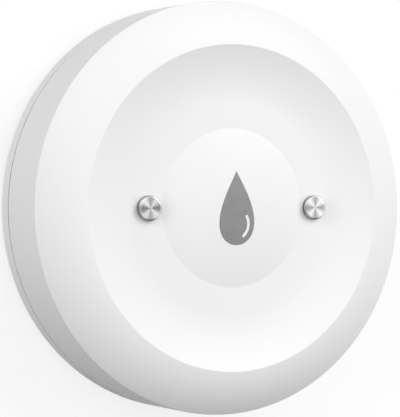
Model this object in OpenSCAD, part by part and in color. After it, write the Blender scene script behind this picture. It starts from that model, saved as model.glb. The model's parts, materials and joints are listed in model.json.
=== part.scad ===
// Round water leak sensor: a white puck whose dished top catches drips and leads them to two
// steel probes, with a second pair of probes underneath for water on the floor.
// Millimetres. +Z is up, the feet stand on z = 0, the axis of the case is the Z axis,
// the tip of the drop mark points to +Y and the probes lie along X.

/* [Case] */
// Diameter at the edge where the side wall meets the shoulder
case_d = 65; // [62:0.5:72]
// Height from the underside of the base to the crest of the dish
case_h = 16.4; // [16:0.1:19]
// Height from the underside of the base to the shoulder edge
side_h = 13; // [12:0.1:14]
// Lean of the side wall, which widens towards the floor, in degrees
side_draft = 2.4; // [0.5:0.1:3]
// Height of the base's share of the side wall
seam_h = 2.8; // [2.4:0.1:3.6]
// Width of the groove between cover and base
seam_gap = 0.25; // [0.1:0.05:0.5]
// Wall thickness of the cover
wall = 1.6; // [1.2:0.1:1.9]
// Floor thickness of the base
floor_t = 1.8; // [1.5:0.1:2.2]
// Radius of the convex shoulder
shoulder_r = 17; // [12:0.5:30]
// Rounding of the bottom edge
edge_r = 0.6; // [0.3:0.1:1.2]

/* [Dish] */
// Diameter of the crest around the dish
crest_d = 50.8; // [46:0.2:54]
// Depth of the dish from its crest to its flat ring
dish_depth = 1.95; // [1.5:0.05:2.6]
// Outer diameter of the flat ring that the probes stand on
ring_d = 33.2; // [32:0.2:36]
// Share of the slope's width that the curve out of the flat ring takes
dish_blend = 0.45; // [0.3:0.05:0.6]
// Diameter of the domed middle
dome_d = 24.8; // [18:0.2:25]
// Rise of the dome above the flat ring
dome_rise = 1.3; // [0.8:0.05:1.6]

/* [Drop mark] */
// Height of the drop
mark_h = 11.6; // [8:0.2:14]
// Width of the drop
mark_w = 6.2; // [4.8:0.1:8]
// Thickness of the inlaid mark
mark_t = 0.4; // [0.2:0.05:0.6]
// Width of the highlight stroke left open in the mark
highlight_w = 0.44; // [0.3:0.02:0.7]

/* [Probes] */
// Distance between the two top probes
probe_span = 29.4; // [28.4:0.2:33]
// Diameter of a probe's head
probe_head_d = 3.9; // [3.6:0.1:4.6]
// Height of a top probe's head
top_head_h = 0.85; // [0.6:0.05:1.2]
// Height of a bottom probe's head
bottom_head_h = 0.4; // [0.3:0.05:0.5]
// Bevel of a head's edge
head_bevel = 0.12; // [0.05:0.01:0.2]
// Diameter of a probe's shank
shank_d = 2.4; // [2:0.1:2.6]
// Distance between the two bottom probes
floor_probe_span = 47; // [45.6:0.2:49]
// Wire thickness of a probe's seal ring
probe_seal_d = 0.5; // [0.35:0.05:0.6]
// Width across flats of a probe nut
nut_af = 4; // [3.6:0.1:4.4]
// Height of a probe nut
nut_h = 1; // [0.8:0.1:1.2]

/* [Contact springs] */
// Wire thickness
spring_wire = 0.36; // [0.25:0.01:0.4]
// Diameter at the middle of the wire
spring_d = 1.7; // [1.4:0.1:2]
// Turns
spring_turns = 4; // [3:1:5]
// Height of a spring between board and probe
spring_h = 2.6; // [2.4:0.1:2.9]

/* [Battery] */
// Cell diameter
cell_d = 20; // [16:0.5:20.5]
// Cell height
cell_h = 3.2; // [2.5:0.1:3.5]
// Offset of the cell from the middle, towards -X
cell_offset = 2.3; // [1.8:0.1:2.4]
// Wall of the cell holder
holder_t = 1.2; // [0.8:0.1:1.3]
// Room between cell and board for the spring contact
contact_room = 1.4; // [1.2:0.1:1.7]

/* [Battery door] */
// Diameter of the opening in the base
opening_d = 31; // [30.6:0.1:31.4]
// Diameter of the door's flange
door_d = 38.4; // [37.6:0.1:39.2]
// Thickness of the flange
door_t = 1.2; // [1.1:0.1:1.4]
// Wall of the door's collar
collar_t = 1.3; // [1:0.1:1.5]
// Turn that frees the door, in degrees
door_turn = 50; // [40:1:60]
// Width of a bayonet lug, in degrees
lug_width = 24; // [16:1:28]
// Reach of a lug beyond the collar
lug_reach = 1.3; // [1:0.1:1.4]
// Height of a lug
lug_h = 1; // [0.8:0.1:1.2]
// Wire thickness of the door's seal
door_seal_d = 1; // [0.8:0.05:1.1]
// Length of the coin slot
coin_slot_l = 17; // [12:0.5:22]
// Width of the coin slot
coin_slot_w = 2.2; // [1.8:0.1:2.6]
// Depth of the coin slot
coin_slot_depth = 0.7; // [0.4:0.05:0.8]
// Bevel of the door's outer edge
door_bevel = 0.3; // [0.15:0.05:0.5]

/* [Board] */
// Thickness of the circuit board
board_t = 1.2; // [1:0.1:1.6]
// Width of the radio module
radio_w = 15; // [12:0.5:17]
// Length of the radio module
radio_l = 12; // [10:0.5:13]
// Height of the radio's shield
shield_h = 1.8; // [1.2:0.1:2]
// Side of the pairing switch
switch_w = 4.5; // [4:0.1:5]
// Height of the pairing switch's body
switch_h = 1.6; // [1.5:0.1:1.8]
// Diameter of the switch's plunger
plunger_d = 2.4; // [1.8:0.1:2.6]
// Travel of the plunger
plunger_travel = 0.25; // [0.15:0.05:0.35]

/* [Fasteners and feet] */
// Diameter of the case screws
screw_d = 2; // [1.8:0.1:2.2]
// Diameter of a case screw's head
screw_head_d = 4; // [3.6:0.1:4.2]
// Height of a case screw's head
screw_head_h = 1.5; // [1.2:0.1:1.6]
// Diameter of the board screws
board_screw_d = 1.6; // [1.4:0.1:1.8]
// Diameter of a foot
foot_d = 7; // [6:0.2:8]
// Height of a foot below the base
foot_h = 0.6; // [0.5:0.05:1]
// Depth of a foot's seat in the base
foot_seat = 0.5; // [0.3:0.05:0.6]
// Bevel of a foot's edge
foot_bevel = 0.25; // [0.1:0.05:0.4]

/* [Hidden] */
$fn = 96;

// Colours
white_plastic = "whitesmoke";
mark_grey = "gray";
steel = "silver";
gold = "goldenrod";
rubber_black = [0.12, 0.12, 0.12];
silicone = "lightgray";
board_green = "darkgreen";

// Clearances
fit_gap = 0.1;     // between pieces that slide together
bore_gap = 0.05;   // around a shank in its hole
ring_gap = 0.02;   // around a seal ring in its groove
eps = 0.01;
far = 100;         // longer than any piece

// Levels of the case
under_z = foot_h;
seam_z = under_z + seam_h;
cover_z = seam_z + seam_gap;
edge_z = under_z + side_h;
crest_z = under_z + case_h;
valley_z = crest_z - dish_depth;
apex_z = valley_z + dome_rise;
floor_z = under_z + floor_t;

// Radii of the case
edge_radius = case_d / 2;
base_radius = edge_radius + side_h * tan(side_draft);
crest_radius = crest_d / 2;
dome_radius = dome_d / 2;
function side_radius(z) = edge_radius + (edge_z - z) * tan(side_draft);

// Centre of the bottom edge's rounding, which runs smoothly into the leaning wall
round_z = under_z + edge_r;
round_r = side_radius(round_z) - edge_r / cos(side_draft);
round_steps = 6;

// Shoulder arc through the shoulder edge and the crest
shoulder_run = edge_radius - crest_radius;
shoulder_rise = crest_z - edge_z;
shoulder_chord = norm([shoulder_run, shoulder_rise]);
shoulder_tilt = atan2(shoulder_rise, shoulder_run) + asin(shoulder_chord / 2 / shoulder_r);
shoulder_cr = edge_radius - shoulder_r * sin(shoulder_tilt);
shoulder_cz = edge_z - shoulder_r * cos(shoulder_tilt);

// Dish: a flat ring, a curve that leaves it level and ends at the mean slope, and a wider
// curve that goes on from there to the crest
ring_radius = ring_d / 2;
dish_run = crest_radius - ring_radius;
mean_slope = atan2(dish_depth, dish_run);
blend_r = dish_blend * dish_run / sin(mean_slope);
blend_end = [ring_radius + dish_blend * dish_run, valley_z + blend_r * (1 - cos(mean_slope))];
slope_way = [-sin(mean_slope), cos(mean_slope)];
slope_chord = [crest_radius, crest_z] - blend_end;
slope_r = slope_chord * slope_chord / (2 * slope_chord * slope_way);
slope_c = blend_end + slope_r * slope_way;
function dish_z(r) =
    r <= ring_radius ? valley_z
    : r <= blend_end[0] ? valley_z + blend_r - sqrt(blend_r ^ 2 - (r - ring_radius) ^ 2)
    : slope_c[1] - sqrt(slope_r ^ 2 - (r - slope_c[0]) ^ 2);
dome_r = (dome_radius ^ 2 + dome_rise ^ 2) / (2 * dome_rise);

// Joint between cover and base
mouth_radius = side_radius(seam_z) - wall;
spigot_t = 1.5;
spigot_h = 4;
spigot_radius = mouth_radius - fit_gap;
spigot_inner = spigot_radius - spigot_t;
spigot_z = seam_z + spigot_h;
case_seal_d = 1;
case_seal_z = seam_z + spigot_h * 0.55;
case_seal_groove = case_seal_d - fit_gap;

// Case screws, their bosses and the feet over them
screw_angles = [30, 150, 270];
boss_wall = 1.9;
boss_radius = screw_d / 2 + boss_wall;
column_wall = 1.4;
column_radius = screw_head_d / 2 + column_wall;
column_gap = 0.4;
screw_circle = spigot_inner - column_radius - column_gap;
head_room = 0.9;       // between a foot and the screw head over it
head_floor = 2.2;      // of the column, over the screw head
screw_bite = 5;        // of the screw in its boss
head_seat_z = under_z + foot_seat + screw_head_h + head_room;
column_z = head_seat_z + head_floor;
screw_tip_z = column_z + screw_bite;
tip_room = 0.6;        // in a hole beyond the tip of its screw
rib_t = 1.2;           // of the rib that ties a boss to the side wall
rib_z = spigot_z + 3 * fit_gap;

// Battery door and its opening
opening_radius = opening_d / 2;
door_radius = door_d / 2;
flange_z = under_z + door_t;
ledge_z = flange_z + fit_gap;
ledge_t = 1.75;
lug_gap = 0.1;
lug_z = ledge_z + ledge_t + lug_gap;
collar_radius = opening_radius - 2 * fit_gap;
collar_inner = collar_radius - collar_t;
collar_z = lug_z + lug_h;
lug_radius = collar_radius + lug_reach;
notch_radius = lug_radius + 2 * fit_gap;
stop_lap = 1;          // of a stop post into the opening, before the opening is cut
stop_wall = 0.6;       // of a stop post beyond the notches
notch_margin = 3;      // spare width of a notch on each side of its lug, in degrees
lug_angles = [0, 120, 240];
lug_reach_angle = lug_width / 2 + notch_margin;
stop_gap = 1;          // between a notch and the stop beside it, in degrees
stop_angle = lug_reach_angle + stop_gap;
stop_width = 6;        // of the posts that end the door's turn, in degrees
door_seal_r = (notch_radius + door_radius) / 2;
ledge_wall = 1.4;
ledge_radius = door_radius + ledge_wall;

// Stack of cell, board and springs
cell_lift = 0.6;       // room between the door and the cell
cell_z = flange_z + cell_lift;
cell_x = -cell_offset;
cell_top_z = cell_z + cell_h;
board_z = cell_top_z + contact_room;
board_top_z = board_z + board_t;
board_gap = 1.2;
board_radius = spigot_inner - board_gap;
holder_gap = 0.2;
holder_inner = cell_d / 2 + holder_gap;
holder_radius = holder_inner + holder_t;
holder_lift = 1.2;     // of the holder's lower edge above the cell's face
holder_z = cell_z + holder_lift;
holder_slot_gap = 1;   // beside a contact in the holder's slot
cell_crimp = 0.5;      // rounding of the cell's can
cell_cap_h = 0.4;      // of the cell's smaller pole
contact_t = 0.25;
contact_w = 4;
plus_lift = 0.8;       // of the plus contact above the cell's face
plus_foot_l = 2.4;
minus_foot_l = 3;
minus_reach = 5;       // of the sloping arm of the minus contact
minus_tip_l = 1;

// Probes
head_radius = probe_head_d / 2;
shank_radius = shank_d / 2;
probe_x = probe_span / 2;
land_sink = 0.05;      // of a top probe's seat below the dish
top_land_z = dish_z(probe_x) - land_sink;
top_shank_z = board_top_z + spring_h;
probe_boss_wall = 0.6; // beyond the flats of the nut
probe_boss_radius = nut_af / 2 + probe_boss_wall;
top_boss_h = 0.9;      // of a boss below the inside of the dish
top_boss_z = top_land_z - wall - top_boss_h;
floor_probe_x = floor_probe_span / 2;
floor_shank_z = board_z - spring_h;
floor_boss_h = 0.5;
floor_boss_z = floor_z + floor_boss_h;
seal_ring_r = shank_radius + probe_seal_d / 2 + ring_gap;
seal_pocket_r = seal_ring_r + probe_seal_d / 2 + ring_gap;
seal_pocket_depth = probe_seal_d + 2 * ring_gap;

// Board screws and the cover's posts for them
post_angles = [215, 325];
post_circle = 18;
post_wall = 1.3;
post_radius = board_screw_d / 2 + post_wall;
board_screw_l = 4.2;
board_screw_head_d = 2.8;
board_screw_head_h = 0.9;

// Pieces on the board
radio_y = 19;
radio_t = 0.8;
shield_t = 0.2;
shield_edge = 1;       // from the radio's edge that faces the middle
antenna_l = 3;         // of the radio's end that the shield leaves free
shield_w = radio_w - 4 * shield_edge;
shield_l = radio_l - shield_edge - antenna_l;
led_y = 5;
led_size = [2, 1.25, 0.8];
controller_y = -9;
controller_size = [5, 5, 0.9];
coil_x = 7;            // of the small coils beside the controller
coil_size = [2, 1.25, 0.8];
crystal_y = -16;
crystal_size = [3.2, 1.6, 1.1];
switch_x = 11.6;
switch_lip = 0.4;      // that holds the plunger's flange in
plunger_reach = 1.3;   // of the plunger below the switch's body
plunger_flange = 0.4;
plunger_flange_h = 0.35;

// Drop mark
drop_taper = 1.25;     // higher draws the tip out longer
drop_steps = 52;
drop_peak = max([for (i = [0 : 180]) drop_x(i)]);
highlight_r = 2.38;
highlight_c = [-0.34, -2.5];
highlight_from = -50;
highlight_to = 30;
function drop_x(t) = sin(t) * sin(t / 2) ^ drop_taper;

// Sections of the case, in the half plane of radius and height

module side_section(inset) {
    polygon([[0, 0], [side_radius(0) - inset, 0], [side_radius(crest_z) - inset, crest_z], [0, crest_z]]);
}

module shoulder_section(inset) {
    r = shoulder_r - inset;
    translate([shoulder_cr, shoulder_cz]) circle(r = r, $fn = 360);
    square([shoulder_cr, shoulder_cz + r]);
    square([shoulder_cr + r, max(eps, shoulder_cz)]);
}

// The part of a disc that lies between two distances from the axis
module disc_band(centre, r, from, to) {
    intersection() {
        translate(centre) circle(r = r, $fn = 360);
        translate([from, 0]) square([to - from, far]);
    }
}

module dish_section(inset) {
    join = blend_end[0] + inset * sin(mean_slope);
    translate([0, valley_z - inset]) square([ring_radius, far]);
    disc_band([ring_radius, valley_z + blend_r], blend_r + inset, ring_radius, join);
    disc_band(slope_c, slope_r + inset, join, far);
}

module dome_section(inset) {
    intersection() {
        translate([0, apex_z - dome_r]) circle(r = dome_r - inset, $fn = 720);
        square([dome_radius, crest_z]);
    }
}

module case_section(inset) {
    difference() {
        intersection() {
            side_section(inset);
            shoulder_section(inset);
        }
        dish_section(inset);
    }
    dome_section(inset);
}

module cover_section() {
    difference() {
        intersection() {
            case_section(0);
            translate([0, cover_z]) square([far, far]);
        }
        case_section(wall);
        square([mouth_radius, spigot_z + fit_gap]);
    }
}

module base_section() {
    rounding = [for (i = [0 : round_steps])
        let (a = (90 + side_draft) * i / round_steps - 90)
        [round_r + edge_r * cos(a), round_z + edge_r * sin(a)]];
    polygon(concat([[0, under_z]], rounding, [[side_radius(seam_z), seam_z],
        [spigot_radius, seam_z], [spigot_radius, spigot_z], [0, spigot_z]]));
}

// The base is open above its floor, inside the spigot
module base_hollow() {
    translate([0, 0, floor_z]) cylinder(r = spigot_inner, h = far);
}

// Repeats

module at_angles(angles, circle_radius) {
    for (a = angles) rotate(a) translate([circle_radius, 0, 0]) children();
}

module at_both_sides(x) {
    for (side = [-1, 1]) translate([side * x, 0, 0]) children();
}

module ring_sector(inner, outer, z, h, from, width) {
    rotate(from) rotate_extrude(angle = width) translate([inner, z]) square([outer - inner, h]);
}

// A disc whose lower edge is bevelled
module bevelled_disc(r, z, h, bevel) {
    translate([0, 0, z]) rotate_extrude()
        polygon([[0, 0], [r - bevel, 0], [r, bevel], [r, h], [0, h]]);
}

module seal_ring(ring_r, wire, z) {
    translate([0, 0, z]) rotate_extrude() translate([ring_r, 0]) circle(d = wire, $fn = 48);
}

module hex_nut(z) {
    translate([0, 0, z]) difference() {
        cylinder(d = nut_af / cos(30), h = nut_h, $fn = 6);
        translate([0, 0, -eps]) cylinder(d = shank_d + 2 * bore_gap, h = nut_h + 2 * eps);
    }
}

// Points round a coil whose wire stays between z = 0 and z = h
function coil_ring(t, z) =
    [for (k = [0 : 5])
        let (reach = spring_wire / 2 * cos(60 * k), r = spring_d / 2 + reach)
        [r * cos(360 * t), r * sin(360 * t), z + spring_wire / 2 * sin(60 * k)]];

module contact_spring() {
    rings = 8 * spring_turns;
    rise = spring_h - spring_wire;
    points = [for (i = [0 : rings])
        each coil_ring(i / 8, spring_wire / 2 + rise * i / rings)];
    sides = [for (i = [0 : rings - 1], k = [0 : 5])
        let (a = 6 * i + k, b = 6 * i + (k + 1) % 6)
        each [[a, a + 6, b], [b, a + 6, b + 6]]];
    last = 6 * rings;
    ends = [for (k = [1 : 4]) each [[0, k, k + 1], [last, last + k + 1, last + k]]];
    polyhedron(points = points, faces = concat(sides, ends));
}

// A turned probe with its head's underside at z = 0 and its shank going down
module probe(head_h, shank_l) {
    rotate_extrude() polygon([[0, -shank_l], [shank_radius - head_bevel, -shank_l],
        [shank_radius, -shank_l + head_bevel], [shank_radius, 0], [head_radius, 0],
        [head_radius, head_h - head_bevel], [head_radius - head_bevel, head_h], [0, head_h]]);
}

module screw(shank_r, shank_l, head_r, head_h) {
    translate([0, 0, -head_h]) difference() {
        cylinder(r = head_r, h = head_h);
        translate([0, 0, -eps]) cylinder(r = head_r * 0.5, h = head_h * 0.6, $fn = 6);
    }
    cylinder(r = shank_r, h = shank_l);
}

// Top cover

module cover_core() {
    intersection() {
        union() {
            at_angles(screw_angles, screw_circle) {
                translate([0, 0, column_z]) cylinder(r = boss_radius, h = far);
                translate([0, -rib_t / 2, rib_z]) cube([far, rib_t, far]);
            }
            at_angles(post_angles, post_circle) translate([0, 0, board_top_z])
                cylinder(r = post_radius, h = far);
            at_both_sides(probe_x) translate([0, 0, top_boss_z])
                cylinder(r = probe_boss_radius, h = far);
        }
        rotate_extrude() case_section(wall / 2);
    }
}

module cover_holes() {
    at_angles(screw_angles, screw_circle) translate([0, 0, column_z - eps])
        cylinder(d = screw_d + 2 * bore_gap, h = screw_bite + tip_room);
    at_angles(post_angles, post_circle) translate([0, 0, board_top_z - eps])
        cylinder(d = board_screw_d + 2 * bore_gap, h = board_screw_l - board_t + tip_room);
    at_both_sides(probe_x) {
        translate([0, 0, top_boss_z - eps]) cylinder(r = shank_radius + bore_gap, h = far);
        translate([0, 0, top_land_z]) cylinder(r = head_radius + bore_gap, h = far);
        translate([0, 0, top_land_z - seal_pocket_depth]) cylinder(r = seal_pocket_r, h = far);
    }
}

module top_cover() {
    color(white_plastic) difference() {
        union() {
            rotate_extrude() cover_section();
            cover_core();
        }
        cover_holes();
        drop_inlay(ring_gap);
    }
}

// Drop mark

module drop_outline() {
    polygon([for (i = [0 : drop_steps - 1]) let (t = 360 * i / drop_steps)
        [sin(t) * abs(sin(t / 2)) ^ drop_taper / drop_peak * mark_w / 2, cos(t) * mark_h / 2]]);
}

function on_circle(centre, r, a) = centre + r * [cos(a), sin(a)];

// A curved stroke with round ends
module highlight_stroke() {
    half = highlight_w / 2;
    steps = 12;
    turn = (highlight_to - highlight_from) / steps;
    upper_end = on_circle(highlight_c, highlight_r, highlight_to);
    lower_end = on_circle(highlight_c, highlight_r, highlight_from);
    polygon(concat(
        [for (i = [0 : steps]) on_circle(highlight_c, highlight_r + half, highlight_from + turn * i)],
        [for (a = [30 : 30 : 150]) on_circle(upper_end, half, highlight_to + a)],
        [for (i = [0 : steps]) on_circle(highlight_c, highlight_r - half, highlight_to - turn * i)],
        [for (a = [210 : 30 : 330]) on_circle(lower_end, half, highlight_from + a)]));
}

// The mark lies flush in the dome
module drop_inlay(grow) {
    intersection() {
        linear_extrude(height = far) difference() {
            drop_outline();
            highlight_stroke();
        }
        translate([0, 0, apex_z - dome_r]) difference() {
            sphere(r = dome_r + grow, $fn = 360);
            sphere(r = dome_r - mark_t - grow, $fn = 360);
        }
    }
}

module drop_mark() {
    color(mark_grey) drop_inlay(0);
}

// Top probes with their seals, nuts and springs

module top_probe(side) {
    color(steel) translate([side * probe_x, 0, top_land_z])
        probe(top_head_h, top_land_z - top_shank_z);
}

module top_probe_seals() {
    color(silicone) at_both_sides(probe_x)
        seal_ring(seal_ring_r, probe_seal_d, top_land_z - seal_pocket_depth / 2);
}

module top_probe_nuts() {
    color(gold) at_both_sides(probe_x) hex_nut(top_boss_z - nut_h);
}

module top_contact_springs() {
    color(gold) at_both_sides(probe_x) translate([0, 0, board_top_z]) contact_spring();
}

// Base

module base_core() {
    difference() {
        rotate_extrude() base_section();
        base_hollow();
    }
    at_angles(screw_angles, screw_circle) translate([0, 0, under_z])
        cylinder(r = column_radius, h = column_z - under_z);
    translate([0, 0, under_z]) cylinder(r = ledge_radius, h = ledge_z + ledge_t - under_z);
    at_both_sides(floor_probe_x) translate([0, 0, under_z])
        cylinder(r = probe_boss_radius, h = floor_boss_z - under_z);
    for (a = lug_angles, from = [a + stop_angle, a - door_turn - stop_angle - stop_width])
        ring_sector(opening_radius - stop_lap, notch_radius + stop_wall, floor_z, collar_z - floor_z,
            from, stop_width);
}

module base_holes() {
    at_angles(screw_angles, screw_circle) {
        cylinder(r = foot_d / 2 + fit_gap, h = under_z + foot_seat);
        cylinder(d = screw_head_d + 4 * fit_gap, h = head_seat_z);
        cylinder(d = screw_d + 4 * bore_gap, h = far);
    }
    at_both_sides(floor_probe_x) {
        cylinder(r = shank_radius + bore_gap, h = far);
        cylinder(r = seal_pocket_r, h = under_z + seal_pocket_depth);
    }
}

module door_opening() {
    cylinder(r = opening_radius, h = far);
    cylinder(r = door_radius + fit_gap, h = ledge_z);
    for (a = lug_angles)
        ring_sector(opening_radius / 2, notch_radius, 0, far, a - door_turn - lug_reach_angle,
            2 * lug_reach_angle);
    translate([0, 0, ledge_z - eps]) difference() {
        cylinder(r = door_seal_r + door_seal_d / 2 + ring_gap, h = door_seal_d - fit_gap + eps);
        cylinder(r = door_seal_r - door_seal_d / 2 - ring_gap, h = door_seal_d);
    }
}

module case_seal_slot() {
    translate([0, 0, case_seal_z - case_seal_d / 2 - ring_gap]) difference() {
        cylinder(r = far, h = case_seal_d + 2 * ring_gap);
        cylinder(r = spigot_radius - case_seal_groove - ring_gap, h = case_seal_d + 1);
    }
}

module base() {
    color(white_plastic) difference() {
        base_core();
        base_holes();
        door_opening();
        case_seal_slot();
    }
}

module case_seal() {
    color(silicone)
        seal_ring(spigot_radius - case_seal_groove + case_seal_d / 2 - ring_gap / 2, case_seal_d,
            case_seal_z);
}

module case_screws() {
    color(steel) at_angles(screw_angles, screw_circle) translate([0, 0, head_seat_z])
        screw(screw_d / 2, screw_tip_z - head_seat_z, screw_head_d / 2, screw_head_h);
}

module rubber_feet() {
    color(rubber_black) at_angles(screw_angles, screw_circle)
        bevelled_disc(foot_d / 2, 0, under_z + foot_seat, foot_bevel);
}

// Battery door, turned by a coin

module coin_slot() {
    run = coin_slot_l - coin_slot_w;
    translate([-run / 2, -coin_slot_w / 2, 0]) cube([run, coin_slot_w, under_z + coin_slot_depth]);
    at_both_sides(run / 2) cylinder(d = coin_slot_w, h = under_z + coin_slot_depth);
}

module battery_door() {
    color(white_plastic) difference() {
        union() {
            bevelled_disc(door_radius, under_z, door_t, door_bevel);
            translate([0, 0, under_z]) cylinder(r = collar_radius, h = collar_z - under_z);
            for (a = lug_angles)
                ring_sector(collar_radius - collar_t / 2, lug_radius, lug_z, lug_h,
                    a - lug_width / 2, lug_width);
        }
        translate([0, 0, flange_z]) cylinder(r = collar_inner, h = far);
        coin_slot();
    }
}

module door_seal() {
    color(silicone) seal_ring(door_seal_r, door_seal_d - ring_gap, flange_z + door_seal_d / 2);
}

// Battery with its holder and contacts

module coin_cell() {
    radius = cell_d / 2;
    can_h = cell_h - cell_cap_h;
    cap_radius = radius - 3 * cell_crimp;
    color(steel) translate([cell_x, 0, cell_z]) rotate_extrude() polygon([[0, 0],
        [radius - cell_crimp, 0], [radius, cell_crimp], [radius, can_h - cell_crimp],
        [radius - cell_crimp, can_h], [cap_radius, can_h], [cap_radius, cell_h], [0, cell_h]]);
}

module battery_holder() {
    color(rubber_black) translate([cell_x, 0, 0]) difference() {
        translate([0, 0, holder_z]) cylinder(r = holder_radius, h = board_z - holder_z);
        cylinder(r = holder_inner, h = far);
        for (side = [-1, 1])
            translate([side * holder_radius, 0, board_z / 2])
                cube([4 * holder_t, contact_w + 2 * holder_slot_gap, 2 * board_z], center = true);
    }
}

module contact_plus() {
    tab_x = cell_x - cell_d / 2 - fit_gap;
    tab_z = cell_z + plus_lift;
    color(gold) translate([0, contact_w / 2, 0]) rotate([90, 0, 0]) linear_extrude(height = contact_w)
        polygon([[tab_x, tab_z], [tab_x, board_z], [tab_x - plus_foot_l, board_z],
            [tab_x - plus_foot_l, board_z - contact_t], [tab_x - contact_t, board_z - contact_t],
            [tab_x - contact_t, tab_z]]);
}

module contact_minus() {
    touch_z = cell_top_z + bore_gap;
    tip_x = -minus_reach - minus_tip_l;
    color(gold) translate([cell_x, contact_w / 2, 0]) rotate([90, 0, 0])
        linear_extrude(height = contact_w) polygon([[minus_foot_l, board_z], [0, board_z],
            [-minus_reach, touch_z + contact_t], [tip_x, touch_z + contact_t], [tip_x, touch_z],
            [-minus_reach, touch_z], [0, board_z - contact_t], [minus_foot_l, board_z - contact_t]]);
}

// Circuit board and what it carries

module circuit_board() {
    color(board_green) translate([0, 0, board_z]) difference() {
        cylinder(r = board_radius, h = board_t);
        at_angles(screw_angles, screw_circle) {
            translate([0, 0, -eps]) cylinder(r = boss_radius + 4 * fit_gap, h = far);
            translate([0, -boss_radius - 4 * fit_gap, -eps])
                cube([far, 2 * boss_radius + 8 * fit_gap, far]);
        }
        at_angles(post_angles, post_circle) translate([0, 0, -eps])
            cylinder(d = board_screw_d + 4 * bore_gap, h = far);
    }
}

module board_screws() {
    color(steel) at_angles(post_angles, post_circle) translate([0, 0, board_z])
        screw(board_screw_d / 2, board_screw_l, board_screw_head_d / 2, board_screw_head_h);
}

module board_chip(x, y, size) {
    translate([x - size[0] / 2, y - size[1] / 2, board_top_z]) cube(size);
}

module board_chips() {
    color(rubber_black) {
        board_chip(0, controller_y, controller_size);
        for (side = [-1, 1]) board_chip(side * coil_x, controller_y, coil_size);
        board_chip(0, crystal_y, crystal_size);
    }
}

module radio_module() {
    color(board_green) board_chip(0, radio_y, [radio_w, radio_l, radio_t]);
}

module radio_shield() {
    shield_y = radio_y - radio_l / 2 + shield_edge;
    color(steel) translate([-shield_w / 2, shield_y, board_top_z + radio_t]) difference() {
        cube([shield_w, shield_l, shield_h]);
        translate([shield_t, shield_t, -eps])
            cube([shield_w - 2 * shield_t, shield_l - 2 * shield_t, shield_h - shield_t]);
    }
}

module status_led() {
    color("white") board_chip(0, led_y, led_size);
}

module pairing_switch() {
    bore = plunger_d / 2 + bore_gap;
    flange_bore = bore + plunger_flange;
    color(rubber_black) translate([switch_x, 0, board_z - switch_h]) difference() {
        translate([-switch_w / 2, -switch_w / 2, 0]) cube([switch_w, switch_w, switch_h]);
        translate([0, 0, -eps]) cylinder(r = bore, h = switch_h / 2);
        translate([0, 0, switch_lip])
            cylinder(r = flange_bore, h = plunger_flange_h + plunger_travel + 4 * bore_gap);
    }
}

module pairing_plunger() {
    color("ivory") translate([switch_x, 0, board_z - switch_h]) {
        translate([0, 0, -plunger_reach])
            cylinder(d = plunger_d, h = plunger_reach + switch_lip + plunger_flange_h);
        translate([0, 0, switch_lip + bore_gap])
            cylinder(r = plunger_d / 2 + plunger_flange - bore_gap, h = plunger_flange_h);
    }
}

// Bottom probes with their seals, nuts and springs

module bottom_probe(side) {
    color(steel) translate([side * floor_probe_x, 0, under_z]) mirror([0, 0, 1])
        probe(bottom_head_h, floor_shank_z - under_z);
}

module bottom_probe_seals() {
    color(silicone) at_both_sides(floor_probe_x)
        seal_ring(seal_ring_r, probe_seal_d, under_z + seal_pocket_depth / 2);
}

module bottom_probe_nuts() {
    color(gold) at_both_sides(floor_probe_x) hex_nut(floor_boss_z);
}

module bottom_contact_springs() {
    color(gold) at_both_sides(floor_probe_x) translate([0, 0, floor_shank_z]) contact_spring();
}

top_cover();
drop_mark();
top_probe(-1);  // top_probe_left
top_probe(1);  // top_probe_right
top_probe_seals();
top_probe_nuts();
top_contact_springs();
base();
case_seal();
case_screws();
rubber_feet();
battery_door();
door_seal();
coin_cell();
battery_holder();
contact_plus();
contact_minus();
circuit_board();
board_screws();
board_chips();
radio_module();
radio_shield();
status_led();
pairing_switch();
pairing_plunger();
bottom_probe(-1);  // bottom_probe_left
bottom_probe(1);  // bottom_probe_right
bottom_probe_seals();
bottom_probe_nuts();
bottom_contact_springs();
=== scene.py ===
import json
import math

import bpy
from mathutils import Matrix, Vector


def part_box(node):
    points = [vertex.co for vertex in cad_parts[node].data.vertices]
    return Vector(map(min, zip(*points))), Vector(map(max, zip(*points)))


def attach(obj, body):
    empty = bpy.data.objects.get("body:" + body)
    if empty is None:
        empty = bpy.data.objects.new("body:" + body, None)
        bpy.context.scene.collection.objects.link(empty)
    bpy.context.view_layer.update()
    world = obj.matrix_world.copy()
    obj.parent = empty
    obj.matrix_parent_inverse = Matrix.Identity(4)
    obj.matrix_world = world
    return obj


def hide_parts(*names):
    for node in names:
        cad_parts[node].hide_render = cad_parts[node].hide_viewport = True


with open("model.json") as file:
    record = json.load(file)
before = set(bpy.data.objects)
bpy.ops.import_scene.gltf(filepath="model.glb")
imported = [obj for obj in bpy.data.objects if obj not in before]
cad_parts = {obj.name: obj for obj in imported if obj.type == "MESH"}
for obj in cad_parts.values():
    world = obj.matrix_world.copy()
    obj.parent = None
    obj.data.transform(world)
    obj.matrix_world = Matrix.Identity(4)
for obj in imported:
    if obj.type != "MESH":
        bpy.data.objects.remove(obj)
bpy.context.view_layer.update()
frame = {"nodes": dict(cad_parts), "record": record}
NODES = frame["nodes"]
MM = 0.001


def low_of(node):
    """Lowest corner of a CAD node, in millimetres."""
    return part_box(node)[0] / MM


def high_of(node):
    """Highest corner of a CAD node, in millimetres."""
    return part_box(node)[1] / MM


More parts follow.
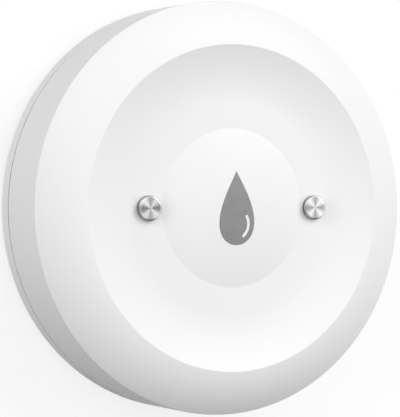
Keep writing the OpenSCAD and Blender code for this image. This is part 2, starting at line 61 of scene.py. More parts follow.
# Driving sizes of the case, in millimetres and degrees
CASE_D = 65.0
SIDE_H = 13.0
DRAFT = 2.4
SEAM_H = 2.8
SEAM_GAP = 0.25
WALL = 1.6
FLOOR_T = 1.8
SHOULDER_R = 17.0
CREST_D = 50.8
DISH_DEPTH = 1.95
RING_D = 33.2
DISH_BLEND = 0.45       # share of the slope's width that the curve out of the flat ring takes
DOME_D = 24.8
DOME_RISE = 1.3
FIT_GAP = 0.1
SPIGOT_T = 1.5
SPIGOT_H = 4.0
BOTTOM_ROUNDING = 0.6
SKIN = 0.01             # keeps the smooth round pieces inside the CAD box

# Levels and radii of the case
UNDER_Z = low_of("base").z
CREST_Z = high_of("top_cover").z
SEAM_Z = UNDER_Z + SEAM_H
COVER_Z = SEAM_Z + SEAM_GAP
EDGE_Z = UNDER_Z + SIDE_H
VALLEY_Z = CREST_Z - DISH_DEPTH
APEX_Z = VALLEY_Z + DOME_RISE
FLOOR_Z = UNDER_Z + FLOOR_T
SPIGOT_Z = SEAM_Z + SPIGOT_H
EDGE_R = CASE_D / 2
CREST_R = CREST_D / 2
RING_R = RING_D / 2
DOME_R = DOME_D / 2


def side_radius(z):
    """Radius of the leaning side wall at a height."""
    return EDGE_R + (EDGE_Z - z) * math.tan(math.radians(DRAFT))


MOUTH_R = side_radius(SEAM_Z) - WALL
SPIGOT_R = MOUTH_R - FIT_GAP
SPIGOT_INNER_R = SPIGOT_R - SPIGOT_T

# The battery door and its opening
DOOR_R = high_of("battery_door").x
DOOR_T = 1.2
DOOR_ROUNDING = 0.3
OPENING_D = 31.0
OPENING_R = OPENING_D / 2
COLLAR_R = OPENING_R - 2 * FIT_GAP
COLLAR_T = 1.3
COLLAR_Z = high_of("battery_door").z
FLANGE_Z = UNDER_Z + DOOR_T
LEDGE_Z = FLANGE_Z + FIT_GAP
LEDGE_T = 1.75
LEDGE_WALL = 1.4
LUG_ANGLES = (0, 120, 240)
LUG_WIDTH = 24.0
LUG_REACH = 1.3
LUG_H = 1.0
COIN_SLOT_L = 17.0
COIN_SLOT_W = 2.2
COIN_SLOT_DEPTH = 0.7
COIN_SLOT_LIP = 0.15    # rounding of the slot's edge
SLOT_LIP_CURVE = (0.0, 0.13, 0.5, 1.0)  # quarter round every 30 degrees, in shares of the lip

# Feet and probes
FOOT_D = 7.0
FOOT_R = FOOT_D / 2
FOOT_ANGLES = (30, 150, 270)
FOOT_CIRCLE = -low_of("rubber_feet").y - FOOT_R
FOOT_TOP_Z = high_of("rubber_feet").z
FOOT_ROUNDING = 0.25
TOP_HEAD_H = 0.85
BOTTOM_HEAD_H = 0.4
HEAD_ROUNDING = 0.32
SHANK_D = 2.4
SHANK_R = SHANK_D / 2

# The drop mark and the highlight stroke in it
MARK_H = 11.6
MARK_W = 6.2
MARK_TAPER = 1.25       # higher draws the tip out longer
MARK_LIFT = 0.012       # of the skin above the dome
MARK_T = 0.05
STROKE_W = 0.5
STROKE_R = 2.38
STROKE_CENTRE = (-0.34, -2.5)
STROKE_FROM = -50.0
STROKE_TO = 30.0

# Steps of the meshes
ROUND_STEPS = 256       # round the case
SLOT_STEPS = 512        # round the door, for the ends of its coin slot
SMALL_ROUND_STEPS = 96  # round a foot or a probe
ROUNDING_STEPS = 8
CURVE_STEPS = 40        # of the shoulder, the slope of the dish and the dome
BLEND_STEPS = 24
RING_STEPS = 8
WALL_STEPS = 10
RIM_STEPS = 3
UNDERSIDE_STEPS = 12
BAND_STEPS = 4
SPIGOT_STEPS = 6
INSIDE_STEPS = 48
FLANGE_STEPS = 4
LUG_STEPS = 12
FOOT_STEPS = 4
FACE_STEPS = 12
HEAD_STEPS = 6
DROP_ROWS = 220
DROP_CELLS = 12         # on each side of the stroke
STROKE_SAMPLES = 400


# Curves in the half plane of radius and height

SUPPORT = 0.12          # from a rounding to the point that keeps the long face beside it flat
SAME_POINT = 1e-6


def along(a, b, share):
    """The point that share of the way from a to b."""
    return (a[0] + (b[0] - a[0]) * share, a[1] + (b[1] - a[1]) * share)


def line(a, b, n):
    """n + 1 points from a to b."""
    return [along(a, b, i / n) for i in range(n + 1)]


def arc(a, b, centre, n):
    """n + 1 points from a to b round a centre."""
    r = math.dist(a, centre)
    start = math.atan2(a[1] - centre[1], a[0] - centre[0])
    turn = math.atan2(b[1] - centre[1], b[0] - centre[0]) - start
    angles = [start + turn * i / n for i in range(n + 1)]
    return [(centre[0] + r * math.cos(t), centre[1] + r * math.sin(t)) for t in angles]


def cut_start(points, length):
    """The polyline without that length at its start."""
    while len(points) > 1:
        step = math.dist(points[0], points[1])
        if step > length:
            return [along(points[0], points[1], length / step)] + points[1:]
        length -= step
        points = points[1:]
    return points


def direction(a, b):
    """Unit vector from a towards b."""
    return Vector((b[0] - a[0], b[1] - a[1])).normalized()


def joined(curves, radii):
    """Curves end to end, each corner rounded with its radius, with a support point on each
    side of a rounding."""
    curves = [list(c) for c in curves]
    corners = []
    for i, radius in enumerate(radii):
        before, after = curves[i], curves[i + 1]
        turn = direction(before[-2], before[-1]).angle(direction(after[0], after[1]))
        cut = radius * math.tan(turn / 2)
        start = cut_start(before[::-1], cut)[0]
        end = cut_start(after, cut)[0]
        corners.append((start, after[0], end))
        curves[i] = cut_start(before[::-1], cut + SUPPORT)[::-1] + [start]
        curves[i + 1] = [end] + cut_start(after, cut + SUPPORT)
    points = curves[0]
    for (start, corner, end), after in zip(corners, curves[1:]):
        for k in range(1, ROUNDING_STEPS):
            share = k / ROUNDING_STEPS
            points.append(along(along(start, corner, share), along(corner, end, share), share))
        points = points + after
    return [p for i, p in enumerate(points) if i == 0 or math.dist(p, points[i - 1]) > SAME_POINT]


# Meshes

SMOOTH_BELOW = math.radians(40)


def new_mesh(name, verts, faces):
    """An object from points in millimetres, shaded smooth except at sharp edges."""
    mesh = bpy.data.meshes.new(name)
    mesh.from_pydata([(x * MM, y * MM, z * MM) for x, y, z in verts], [], faces)
    mesh.validate()
    mesh.polygons.foreach_set("use_smooth", [True] * len(mesh.polygons))
    mesh.set_sharp_from_angle(angle=SMOOTH_BELOW)
    ob = bpy.data.objects.new(name, mesh)
    bpy.context.scene.collection.objects.link(ob)
    return ob


def ring(reach, z, n):
    """n points round the axis at a height; reach is a radius or a function of the angle."""
    points = []
    for k in range(n):
        a = 2 * math.pi * k / n
        r = reach(a) if callable(reach) else reach
        points.append((r * math.cos(a), r * math.sin(a), z))
    return points


def skinned(name, profile, n, closed):
    """A body skinned over rings, from (reach, height) pairs that run outwards below and
    inwards above. A reach of 0 is a point on the axis."""
    verts, rings, faces = [], [], []
    for reach, z in profile:
        points = [(0.0, 0.0, z)] if reach == 0 else ring(reach, z, n)
        rings.append(range(len(verts), len(verts) + len(points)))
        verts += points
    pairs = list(zip(rings, rings[1:])) + ([(rings[-1], rings[0])] if closed else [])
    for a, b in pairs:
        if len(a) == len(b) == 1:
            continue
        for k in range(n):
            nxt = (k + 1) % n
            if len(a) == 1:
                faces.append((a[0], b[nxt], b[k]))
            elif len(b) == 1:
                faces.append((a[k], a[nxt], b[0]))
            else:
                faces.append((a[k], a[nxt], b[nxt], b[k]))
    return new_mesh(name, verts, faces)


# Materials

CLOUD_DETAIL = 3.0
CLOUD_SCALE = 900.0     # of the unevenness in colour and gloss
GRAIN_DETAIL = 2.0
GRAIN_SCALE = 4000.0    # of the relief
GRAIN_STRENGTH = 0.02
RELIEF_DEPTH = 0.02
RAMP_SPAN = (0.35, 0.65)
SPREAD_SPAN = (0.3, 0.7)


def material(name):
    """A new material, its node tree and its shader."""
    m = bpy.data.materials.new(name)
    m.use_nodes = True
    return m, m.node_tree, m.node_tree.nodes["Principled BSDF"]


def noise(tree, scale, detail):
    """Cloudy unevenness, finer with a higher scale."""
    place = tree.nodes.new("ShaderNodeTexCoord")
    texture = tree.nodes.new("ShaderNodeTexNoise")
    texture.inputs["Scale"].default_value = scale
    texture.inputs["Detail"].default_value = detail
    tree.links.new(place.outputs["Object"], texture.inputs["Vector"])
    return texture.outputs["Fac"]


def ramp(tree, source, low, high, span=RAMP_SPAN):
    """A colour that goes from low to high over a span of the source."""
    node = tree.nodes.new("ShaderNodeValToRGB")
    for stop, position, colour in zip(node.color_ramp.elements, span, (low, high)):
        stop.position = position
        stop.color = (*colour, 1.0)
    tree.links.new(source, node.inputs["Fac"])
    return node.outputs["Color"]


def spread(tree, source, low, high):
    """A number that goes from low to high over the middle of the source's range."""
    node = tree.nodes.new("ShaderNodeMapRange")
    node.inputs["From Min"].default_value = SPREAD_SPAN[0]
    node.inputs["From Max"].default_value = SPREAD_SPAN[1]
    node.inputs["To Min"].default_value = low
    node.inputs["To Max"].default_value = high
    tree.links.new(source, node.inputs["Value"])
    return node.outputs["Result"]


def relief(tree, shader, source, strength):
    """Fine bumps on a surface."""
    node = tree.nodes.new("ShaderNodeBump")
    node.inputs["Strength"].default_value = strength
    node.inputs["Distance"].default_value = RELIEF_DEPTH * MM
    tree.links.new(source, node.inputs["Height"])
    tree.links.new(node.outputs["Normal"], shader.inputs["Normal"])


def math_node(tree, operation, *values):
    """A Math node fed by sockets or numbers; returns its output."""
    node = tree.nodes.new("ShaderNodeMath")
    node.operation = operation
    for k, value in enumerate(values):
        if isinstance(value, (int, float)):
            node.inputs[k].default_value = value
        else:
            tree.links.new(value, node.inputs[k])
    return node.outputs["Value"]


def parts_of(tree, vector):
    """The X, Y and Z outputs of a vector."""
    node = tree.nodes.new("ShaderNodeSeparateXYZ")
    tree.links.new(vector, node.inputs["Vector"])
    return node.outputs


def plain(name, low, high, rough, scale=CLOUD_SCALE, metallic=0.0, grain_scale=GRAIN_SCALE,
          grain_strength=GRAIN_STRENGTH, specular=0.5):
    """A moulded, painted or cast surface with a little unevenness in colour, gloss and relief.
    Colours and roughness go from a lower to a higher value."""
    m, tree, shader = material(name)
    uneven = noise(tree, scale, CLOUD_DETAIL)
    tree.links.new(ramp(tree, uneven, low, high), shader.inputs["Base Color"])
    tree.links.new(spread(tree, uneven, *rough), shader.inputs["Roughness"])
    shader.inputs["Metallic"].default_value = metallic
    shader.inputs["Specular IOR Level"].default_value = specular
    relief(tree, shader, noise(tree, grain_scale, GRAIN_DETAIL), grain_strength)
    return m


def grey(level):
    """A neutral colour."""
    return (level, level, level)


# Steel that was faced on a lathe, with painted light sectors and painted shade on the rim
PAINTED_LIGHT_SECTORS = 4             # of painted light on a probe's face
TOOL_MARK_PITCH = 0.3   # of the rings on a probe's face
TOOL_MARK_SHARE = 0.15  # of the rings in the face's colour; the rest is the painted light sectors
TOOL_MARK_WAVINESS = 2.0
TOOL_MARK_DETAIL = 2.0
WAVE_TURNS = 20.0       # radians that the wave texture runs through per unit of its scale
PAINTED_RIM_SHADE_GAIN = 2.0          # the face keeps its colour up to a tilt of 60 degrees; steeper, the rim darkens into painted shade
STEEL_ROUGHNESS = (0.3, 0.38)
STEEL_ANISOTROPY = 0.6


def painted_light_sectors(tree, place):
    """From 0 to 1 and back in each sector round the axis: painted light, sectors of colour that stand in for
    reflections on a turned face.
    """
    at = parts_of(tree, place.outputs["Object"])
    turn = math_node(tree, "ARCTAN2", at["Y"], at["X"])
    wave = math_node(tree, "COSINE", math_node(tree, "MULTIPLY", turn, PAINTED_LIGHT_SECTORS))
    return math_node(tree, "MULTIPLY_ADD", wave, -0.5, 0.5)


def tool_marks(tree, place):
    """Fine rings round the axis."""
    rings = tree.nodes.new("ShaderNodeTexWave")
    rings.wave_type = "RINGS"
    rings.rings_direction = "Z"
    rings.inputs["Scale"].default_value = 2 * math.pi / (WAVE_TURNS * TOOL_MARK_PITCH * MM)
    rings.inputs["Distortion"].default_value = TOOL_MARK_WAVINESS
    rings.inputs["Detail"].default_value = TOOL_MARK_DETAIL
    tree.links.new(place.outputs["Object"], rings.inputs["Vector"])
    return rings.outputs["Fac"]


def painted_rim_shade(tree, place):
    """1 on the face of a head, falling to 0 on its upright side; it paints shade into the colour of the rim.
    """
    facing = parts_of(tree, place.outputs["Normal"])
    upright = math_node(tree, "ABSOLUTE", facing["Z"])
    return math_node(tree, "MINIMUM", 1.0, math_node(tree, "MULTIPLY", upright, PAINTED_RIM_SHADE_GAIN))


def turned_steel_with_painted_light(name, dark, bright):
    """Steel faced on a lathe: fine rings of tool marks, and sectors of painted light round the axis in its
    colour.
    The rim of the head is darker than its face, a painted shade."""
    m, tree, shader = material(name)
    place = tree.nodes.new("ShaderNodeTexCoord")
    rings = tool_marks(tree, place)
    # painted light: the sectors of colour, with the tool-mark rings mixed in
    ring_shade = math_node(tree, "MULTIPLY", rings, TOOL_MARK_SHARE)
    painted_sectors_and_tool_marks = math_node(tree, "MULTIPLY_ADD", painted_light_sectors(tree, place), 1 - TOOL_MARK_SHARE, ring_shade)
    # painted shade: the colour darkens on the rim of the head
    shade = math_node(tree, "MULTIPLY", painted_sectors_and_tool_marks, painted_rim_shade(tree, place))
    colour = ramp(tree, shade, grey(dark), grey(bright), (0.0, 1.0))
    tree.links.new(colour, shader.inputs["Base Color"])
    tree.links.new(spread(tree, rings, *STEEL_ROUGHNESS), shader.inputs["Roughness"])
    shader.inputs["Metallic"].default_value = 1.0
    shader.inputs["Anisotropic"].default_value = STEEL_ANISOTROPY
    tangent = tree.nodes.new("ShaderNodeTangent")
    tangent.direction_type = "RADIAL"
    tangent.axis = "Z"
    tree.links.new(tangent.outputs["Tangent"], shader.inputs["Tangent"])
    return m


FINISH = {
    "white_plastic": plain("white_plastic", grey(0.845), grey(0.855), (0.405, 0.435), scale=4000.0,
                           grain_scale=6000.0, specular=0.2),
    "grey_mark": plain("grey_mark", (0.236, 0.236, 0.24), (0.25, 0.25, 0.254), (0.38, 0.46), scale=600.0),
    # the probe colour goes from painted shade at 0.26 to painted light at 0.76
    "probe_steel": turned_steel_with_painted_light("probe_steel", 0.26, 0.76),
    "foot_rubber": plain("foot_rubber", grey(0.035), grey(0.055), (0.7, 0.85), grain_strength=0.25),
    "silicone": plain("silicone", grey(0.2), grey(0.26), (0.5, 0.6)),
    "screw_steel": plain("screw_steel", (0.55, 0.55, 0.56), grey(0.66), (0.25, 0.4), metallic=1.0),
    "contact_brass": plain("contact_brass", (0.72, 0.55, 0.25), (0.8, 0.62, 0.3), (0.2, 0.32), metallic=1.0),
    "cell_steel": plain("cell_steel", grey(0.62), grey(0.72), (0.22, 0.34), scale=500.0, metallic=1.0),
    "black_plastic": plain("black_plastic", grey(0.03), grey(0.045), (0.45, 0.6)),
    "board_green": plain("board_green", (0.02, 0.16, 0.07), (0.03, 0.22, 0.1), (0.35, 0.45), scale=400.0),
    "led_white": plain("led_white", (0.8, 0.79, 0.75), (0.85, 0.84, 0.8), (0.25, 0.35)),
}


def piece(ob, body, node, slot):
    """Puts a new mesh in the place of a CAD node."""
    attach(ob, body)
    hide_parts(node)
    ob.data.materials.append(FINISH[slot])


# The cover: leaning wall, shoulder, dish with its flat ring, and dome

LIP_ROUNDING = 0.08
EDGE_ROUNDING = 0.3
CREST_ROUNDING = 0.35
DOME_FOOT_ROUNDING = 0.7

SHOULDER_RUN = EDGE_R - CREST_R
SHOULDER_RISE = CREST_Z - EDGE_Z
SHOULDER_CHORD = math.hypot(SHOULDER_RUN, SHOULDER_RISE)
SHOULDER_TILT = math.atan2(SHOULDER_RISE, SHOULDER_RUN) + math.asin(SHOULDER_CHORD / 2 / SHOULDER_R)
SHOULDER_C = (EDGE_R - SHOULDER_R * math.sin(SHOULDER_TILT), EDGE_Z - SHOULDER_R * math.cos(SHOULDER_TILT))

MEAN_SLOPE = math.atan2(DISH_DEPTH, CREST_R - RING_R)
BLEND_RUN = DISH_BLEND * (CREST_R - RING_R)
BLEND_R = BLEND_RUN / math.sin(MEAN_SLOPE)
BLEND_C = (RING_R, VALLEY_Z + BLEND_R)
BLEND_END = Vector((RING_R + BLEND_RUN, VALLEY_Z + BLEND_R * (1 - math.cos(MEAN_SLOPE))))
SLOPE_WAY = Vector((-math.sin(MEAN_SLOPE), math.cos(MEAN_SLOPE)))
SLOPE_CHORD = Vector((CREST_R, CREST_Z)) - BLEND_END
SLOPE_R = SLOPE_CHORD.length_squared / (2 * SLOPE_CHORD.dot(SLOPE_WAY))
SLOPE_C = BLEND_END + SLOPE_WAY * SLOPE_R
DOME_BEND = (DOME_R ** 2 + DOME_RISE ** 2) / (2 * DOME_RISE)
DOME_C = (0.0, APEX_Z - DOME_BEND)


def dome_z(r, inset=0.0):
    """Height of the dome, or of its inside, at that distance from the axis."""
    return DOME_C[1] + math.sqrt((DOME_BEND - inset) ** 2 - r ** 2)


def inner_z(r):
    """Height of the cover's inside at that distance from the axis."""
    if r <= RING_R:
        z = VALLEY_Z - WALL
    elif r <= BLEND_END.x + WALL * math.sin(MEAN_SLOPE):
        z = BLEND_C[1] - math.sqrt((BLEND_R + WALL) ** 2 - (r - RING_R) ** 2)
    else:
        z = SLOPE_C.y - math.sqrt((SLOPE_R + WALL) ** 2 - (r - SLOPE_C.x) ** 2)
    if r > SHOULDER_C[0]:
        z = min(z, SHOULDER_C[1] + math.sqrt((SHOULDER_R - WALL) ** 2 - (r - SHOULDER_C[0]) ** 2))
    return max(z, dome_z(r, WALL)) if r < DOME_R else z


def cover_outside():
    """From the mouth round the wall, the shoulder and the dish to the top of the dome."""
    lip_in, lip_out = (MOUTH_R, COVER_Z), (side_radius(COVER_Z) - SKIN, COVER_Z)
    edge, crest = (EDGE_R - SKIN, EDGE_Z), (CREST_R, CREST_Z)
    ring_out, ring_in = (RING_R, VALLEY_Z), (DOME_R, VALLEY_Z)
    slope = arc(crest, BLEND_END, SLOPE_C, CURVE_STEPS)
    blend = arc(BLEND_END, ring_out, BLEND_C, BLEND_STEPS)
    outside = joined(
        [line(lip_in, lip_out, RIM_STEPS), line(lip_out, edge, WALL_STEPS),
         arc(edge, crest, SHOULDER_C, CURVE_STEPS),
         slope + blend[1:] + line(ring_out, ring_in, RING_STEPS)[1:],
         arc(ring_in, (0.0, APEX_Z), DOME_C, CURVE_STEPS)],
        [LIP_ROUNDING, EDGE_ROUNDING, CREST_ROUNDING, DOME_FOOT_ROUNDING])
    return outside[:-1] + [(0, APEX_Z)]


def cover_inside():
    """From the axis under the dome out to the corner, and down to the mouth."""
    inside = []
    for r, _ in line((0, 0), (EDGE_R - WALL, 0), INSIDE_STEPS):
        inside.append((r, inner_z(r)))
    mouth_z = SPIGOT_Z + FIT_GAP
    return inside + [(side_radius(mouth_z) - WALL, mouth_z), (MOUTH_R, mouth_z)]


def cover():
    """The shell of the cover, without the bosses inside."""
    return skinned("cover", cover_outside() + cover_inside(), ROUND_STEPS, True)


# The base: wall below the seam, spigot into the cover, floor, ledge round the door's opening

RIM_DROP = 0.12         # of the base's rim, so that the seam reads as a dark hairline


def base_shell():
    """The shell of the base, without the columns inside."""
    recess_r = DOOR_R + FIT_GAP
    rim_z = SEAM_Z - RIM_DROP
    recess_top, recess_edge = (recess_r, LEDGE_Z), (recess_r, UNDER_Z)
    bottom_edge, rim_out = (side_radius(UNDER_Z) - SKIN, UNDER_Z), (side_radius(rim_z) - SKIN, rim_z)
    rim_in, spigot_top = (SPIGOT_R, rim_z), (SPIGOT_R, SPIGOT_Z)
    outside = joined(
        [line(recess_top, recess_edge, RIM_STEPS), line(recess_edge, bottom_edge, UNDERSIDE_STEPS),
         line(bottom_edge, rim_out, BAND_STEPS), line(rim_out, rim_in, RIM_STEPS),
         line(rim_in, spigot_top, SPIGOT_STEPS)],
        [LIP_ROUNDING, BOTTOM_ROUNDING, LIP_ROUNDING, 0.0])
    ledge_r = DOOR_R + LEDGE_WALL
    ledge_top = LEDGE_Z + LEDGE_T
    inside = [(SPIGOT_INNER_R, SPIGOT_Z), (SPIGOT_INNER_R, FLOOR_Z), (ledge_r, FLOOR_Z),
              (ledge_r, ledge_top), (OPENING_R, ledge_top), (OPENING_R, LEDGE_Z)]
    return skinned("base_shell", outside + inside, ROUND_STEPS, True)


# The battery door: flange with its coin slot, collar, and bayonet lugs

def slot_reach(grow):
    """Distance from the axis to the coin slot's outline, as a function of the angle."""
    half_w = COIN_SLOT_W / 2 + grow
    end_x = (COIN_SLOT_L - COIN_SLOT_W) / 2

    def reach(a):
        across, along_x = abs(math.sin(a)), abs(math.cos(a))
        if half_w * along_x <= end_x * across:
            return half_w / across
        return end_x * along_x + math.sqrt(half_w ** 2 - (end_x * across) ** 2)

    return reach


def coin_slot():
    """From the roof of the slot down to its rounded lip on the underside of the door."""
    slot_z = UNDER_Z + COIN_SLOT_DEPTH
    profile = [(0, slot_z), (slot_reach(0.0), slot_z)]
    for outwards, upwards in zip(SLOT_LIP_CURVE, reversed(SLOT_LIP_CURVE)):
        profile.append((slot_reach(COIN_SLOT_LIP * outwards), UNDER_Z + COIN_SLOT_LIP * upwards))
    return profile + [(slot_reach(2 * COIN_SLOT_LIP), UNDER_Z)]


def door():
    """The door without its lugs."""
    edge_r = DOOR_R - SKIN
    edge = (edge_r, UNDER_Z)
    flange = joined(
        [line((COLLAR_R, UNDER_Z), edge, FLANGE_STEPS), line(edge, (edge_r, FLANGE_Z), FLANGE_STEPS)],
        [DOOR_ROUNDING])
    inner_r = COLLAR_R - COLLAR_T
    collar = [(COLLAR_R, FLANGE_Z), (COLLAR_R, COLLAR_Z), (inner_r, COLLAR_Z), (inner_r, FLANGE_Z),
              (0, FLANGE_Z)]
    return skinned("door", coin_slot() + flange + collar, SLOT_STEPS, False)


def lug(name, middle):
    """A block on the collar that grips behind the ledge."""
    inner_r, outer_r = COLLAR_R - COLLAR_T / 2, COLLAR_R + LUG_REACH
    low_z = COLLAR_Z - LUG_H
    corners = [(inner_r, low_z), (outer_r, low_z), (outer_r, COLLAR_Z), (inner_r, COLLAR_Z)]
    n = len(corners)
    verts, faces = [], []
    for i in range(LUG_STEPS + 1):
        a = math.radians(middle + LUG_WIDTH * (i / LUG_STEPS - 0.5))
        verts += [(r * math.cos(a), r * math.sin(a), z) for r, z in corners]
    for i in range(LUG_STEPS):
        for k in range(n):
            nxt = (k + 1) % n
            faces.append((n * i + k, n * i + n + k, n * i + n + nxt, n * i + nxt))
    last = range(n * LUG_STEPS, n * LUG_STEPS + n)
    faces += [tuple(range(n)), tuple(reversed(last))]
    return new_mesh(name, verts, faces)


# Feet and probes

def foot(name, angle):
    """A round foot whose lower edge is rounded."""
    edge = (FOOT_R, 0)
    outline = joined([line((0, 0), edge, FOOT_STEPS), line(edge, (FOOT_R, FOOT_TOP_Z), FOOT_STEPS)],
                     [FOOT_ROUNDING])
    ob = skinned(name, outline + [(0, FOOT_TOP_Z)], SMALL_ROUND_STEPS, False)
    a = math.radians(angle)
    ob.location = (FOOT_CIRCLE * math.cos(a) * MM, FOOT_CIRCLE * math.sin(a) * MM, 0.0)
    return ob


def probe(name, node, head_h, way):
    """A round head and its shank. The face looks up where way is 1 and down where it is -1."""
    low, high = low_of(node), high_of(node)
    face, back = (high.z, low.z) if way > 0 else (low.z, high.z)
    head_r = (high.x - low.x) / 2
    edge, under = (head_r, 0), -way * head_h
    outline = joined([line((0, 0), edge, FACE_STEPS), line(edge, (head_r, under), HEAD_STEPS)],
                     [HEAD_ROUNDING])
    outline += [(SHANK_R, under), (SHANK_R, back - face), (0, back - face)]
    ob = skinned(name, outline[::-1] if way > 0 else outline, SMALL_ROUND_STEPS, False)
    ob.location = ((low.x + high.x) / 2 * MM, (low.y + high.y) / 2 * MM, face * MM)
    return ob


# The drop mark: a thin skin on the dome, with the highlight stroke left open

MEET_SHARE = 0.6        # of the half width, beyond which the two sides of a row never meet
WELD = 0.001            # points closer than this are joined


def stroke_span(y):
    """Left and right edge of the highlight stroke at this height, or None."""
    start, end = math.radians(STROKE_FROM), math.radians(STROKE_TO)
    inside = []
    for i in range(STROKE_SAMPLES + 1):
        x = MARK_W * i / STROKE_SAMPLES
        dx, dy = x - STROKE_CENTRE[0], y - STROKE_CENTRE[1]
        a = max(start, min(end, math.atan2(dy, dx)))
        if math.hypot(dx - STROKE_R * math.cos(a), dy - STROKE_R * math.sin(a)) < STROKE_W / 2:
            inside.append(x)
    return (inside[0], inside[-1]) if inside else None


def drop_width(t):
    """Half width of the drop, before scaling; t runs from 0 at the tip to pi at the foot."""
    return math.sin(t) * math.sin(t / 2) ** MARK_TAPER


def drop_row(t, peak):
    """Points across the drop on the dome, first left and then right of the stroke."""
    y = MARK_H / 2 * math.cos(t)
    half_w = drop_width(t) / peak * MARK_W / 2
    end = STROKE_TO if y > STROKE_CENTRE[1] else STROKE_FROM
    end_x = STROKE_CENTRE[0] + STROKE_R * math.cos(math.radians(end))
    meet = min(end_x, half_w * MEET_SHARE)
    left, right = stroke_span(y) or (meet, meet)
    points = []
    for a, b in ((-half_w, left), (right, half_w)):
        for k in range(DROP_CELLS + 1):
            x = a + (b - a) * k / DROP_CELLS
            points.append((x, y, dome_z(math.hypot(x, y)) + MARK_LIFT))
    return points


def drop():
    """Rows from the tip to the foot, thickened downwards."""
    turns = [math.pi * i / DROP_ROWS for i in range(DROP_ROWS + 1)]
    peak = max(drop_width(t) for t in turns)
    verts, faces = [], []
    for t in turns:
        verts += drop_row(t, peak)
    row = 2 * (DROP_CELLS + 1)
    for i in range(DROP_ROWS):
        for k in range(row - 1):
            if k != DROP_CELLS:
                a, b = i * row + k, (i + 1) * row + k
                faces.append((a, b, b + 1, a + 1))
    ob = new_mesh("drop", verts, faces)
    weld = ob.modifiers.new("weld", "WELD")
    weld.merge_threshold = WELD * MM
    thick = ob.modifiers.new("thickness", "SOLIDIFY")
    thick.thickness = MARK_T * MM
    thick.offset = -1.0
    return ob


# Pieces in the place of CAD nodes

piece(cover(), "housing", "top_cover", "white_plastic")
piece(base_shell(), "housing", "base", "white_plastic")
piece(drop(), "housing", "drop_mark", "grey_mark")
for i, angle in enumerate(FOOT_ANGLES):
    piece(foot("foot_%d" % (i + 1), angle), "housing", "rubber_feet", "foot_rubber")
for side in ("left", "right"):
    top, bottom = "top_probe_" + side, "bottom_probe_" + side
    piece(probe("probe_top_" + side, top, TOP_HEAD_H, 1), "housing", top, "probe_steel")
    piece(probe("probe_floor_" + side, bottom, BOTTOM_HEAD_H, -1), "housing", bottom, "probe_steel")
piece(door(), "door", "battery_door", "white_plastic")
for i, angle in enumerate(LUG_ANGLES):
    piece(lug("door_lug_%d" % (i + 1), angle), "door", "battery_door", "white_plastic")

# Pieces that keep their CAD mesh
for part in frame["record"]["subparts"]:
    ob = NODES[part["node"]]
    if not ob.hide_render:
        ob.data.materials.clear()
        ob.data.materials.append(FINISH[part["material_slot"]])


# Floor and world

FLOOR_R = 1500.0
FLOOR_DROP = 0.01       # of the floor below the feet
FLOOR_STEPS = 96
SWEEP_R = 300.0         # of the curve from the floor up into the backdrop
SWEEP_STEPS = 24
BACKDROP_Z = 500.0
FLOOR_GLOW = 0.78       # that the camera and mirror rays see
FLOOR_SHADES = (0.19, 0.21)
FLOOR_CLOUD_SCALE = 40.0
FLOOR_ROUGHNESS = 0.9
WHITE = (1.0, 1.0, 1.0, 1.0)
WORLD_LEVEL = 0.1


def floor_white():
    """Nearly white to the camera and to mirror rays where nothing shades it, and dark enough
    to other rays that it throws little light back."""
    m, tree, shader = material("floor_white")
    uneven = noise(tree, FLOOR_CLOUD_SCALE, CLOUD_DETAIL)
    low, high = FLOOR_SHADES
    tree.links.new(ramp(tree, uneven, grey(low), grey(high)), shader.inputs["Base Color"])
    shader.inputs["Roughness"].default_value = FLOOR_ROUGHNESS
    path = tree.nodes.new("ShaderNodeLightPath")
    mirrored = math_node(tree, "MAXIMUM", path.outputs["Is Glossy Ray"], path.outputs["Is Transmission Ray"])
    seen = math_node(tree, "MAXIMUM", path.outputs["Is Camera Ray"], mirrored)
    shader.inputs["Emission Color"].default_value = WHITE
    tree.links.new(math_node(tree, "MULTIPLY", seen, FLOOR_GLOW), shader.inputs["Emission Strength"])
    return m


def pale_floor():
    """A floor that keeps the part's shadow and curves up into a backdrop far from the part."""
    sweep_c = (FLOOR_R, SWEEP_R - FLOOR_DROP)
    sweep = arc((FLOOR_R + SWEEP_R, sweep_c[1]), (FLOOR_R, -FLOOR_DROP), sweep_c, SWEEP_STEPS)
    profile = [(FLOOR_R + SWEEP_R, BACKDROP_Z)] + sweep + [(0, -FLOOR_DROP)]
    ob = skinned("floor", profile, FLOOR_STEPS, False)
    ob.data.materials.append(floor_white())


def studio_world():
    """A weak even light from all round."""
    world = bpy.data.worlds.new("studio")
    world.use_nodes = True
    sky = world.node_tree.nodes["Background"]
    sky.inputs["Color"].default_value = WHITE
    sky.inputs["Strength"].default_value = WORLD_LEVEL
    bpy.context.scene.world = world


# Lights, in metres and degrees

LIGHT_DISTANCE = 0.8
LIGHT_SIZE = 0.45
LOW_LIGHT_SIZE = 0.25


def softbox(name, azimuth, elevation, level, size=LIGHT_SIZE):
    """A square light that gives a white face turned towards it that level of brightness.
    Azimuth runs from +X towards +Y."""
    a, e = math.radians(azimuth), math.radians(elevation)
    way = Vector((math.cos(a) * math.cos(e), math.sin(a) * math.cos(e), math.sin(e)))
    light = bpy.data.lights.new(name, "AREA")
    light.shape = "SQUARE"
    light.size = size
    light.energy = level * (math.pi * LIGHT_DISTANCE) ** 2
    ob = bpy.data.objects.new(name, light)
    bpy.context.scene.collection.objects.link(ob)
    ob.location = way * LIGHT_DISTANCE
    ob.rotation_mode = "QUATERNION"
    ob.rotation_quaternion = (-way).to_track_quat("-Z", "Y")


# The photograph's camera, to the left of the face

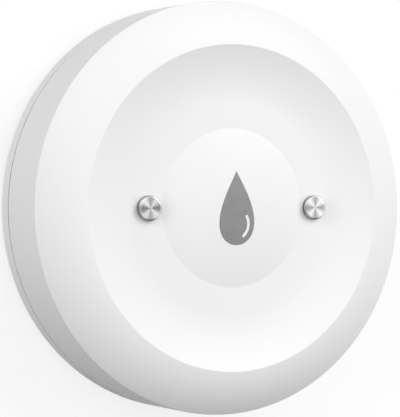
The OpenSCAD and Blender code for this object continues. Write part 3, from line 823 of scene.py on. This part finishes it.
YAW = math.radians(27.47)
LIFT = math.radians(0.27)
ROLL = math.radians(-0.09)
RADII_AWAY = 7.0                # distance, in radii of the case
RADIUS_PIXELS = 196.12          # radius of the case at that distance
CENTRE_OFFSET = (9.39, -0.87)   # of the picture's centre from the case's, in pixels
PICTURE_H = 417.0               # pixels
SENSOR = 36.0
CLIP_NEAR = 0.01                # metres
CLIP_FAR = 20.0


def camera_place(distance, focal):
    """Position and turn of a camera that far away, whose focal length is in pixels."""
    origin = Vector((0.0, 0.0, UNDER_Z * MM))
    back = Vector((-math.sin(YAW) * math.cos(LIFT), math.sin(LIFT), math.cos(YAW) * math.cos(LIFT)))
    level = Vector((0.0, 1.0, 0.0)).cross(back).normalized()
    upright = back.cross(level)
    right = level * math.cos(ROLL) + upright * math.sin(ROLL)
    up = upright * math.cos(ROLL) - level * math.sin(ROLL)
    place = origin + back * distance
    aim = origin + (right * CENTRE_OFFSET[0] + up * CENTRE_OFFSET[1]) * (distance / focal)
    z_axis = (place - aim).normalized()
    x_axis = up.cross(z_axis).normalized()
    turn = Matrix((x_axis, z_axis.cross(x_axis), z_axis)).transposed()
    return Matrix.Translation(place) @ turn.to_4x4()


def photo_camera():
    """The camera that the main picture is taken with."""
    focal = RADII_AWAY * RADIUS_PIXELS
    data = bpy.data.cameras.new("photo_camera")
    data.sensor_width = SENSOR
    data.lens = focal * SENSOR / PICTURE_H
    data.clip_start = CLIP_NEAR
    data.clip_end = CLIP_FAR
    ob = bpy.data.objects.new("photo_camera", data)
    bpy.context.scene.collection.objects.link(ob)
    ob.matrix_world = camera_place(RADII_AWAY * EDGE_R * MM, focal)
    bpy.context.scene.camera = ob


pale_floor()
studio_world()
softbox("key", azimuth=45, elevation=40, level=0.52)
softbox("right_fill", azimuth=0, elevation=40, level=0.255)
softbox("left_key", azimuth=135, elevation=40, level=0.225)
softbox("overhead", azimuth=0, elevation=90, level=0.285)
softbox("left_low", azimuth=180, elevation=12, level=0.225, size=LOW_LIGHT_SIZE)
softbox("far_low", azimuth=160, elevation=10, level=0.24, size=LOW_LIGHT_SIZE)
photo_camera()
bpy.context.scene.view_settings.view_transform = "Standard"
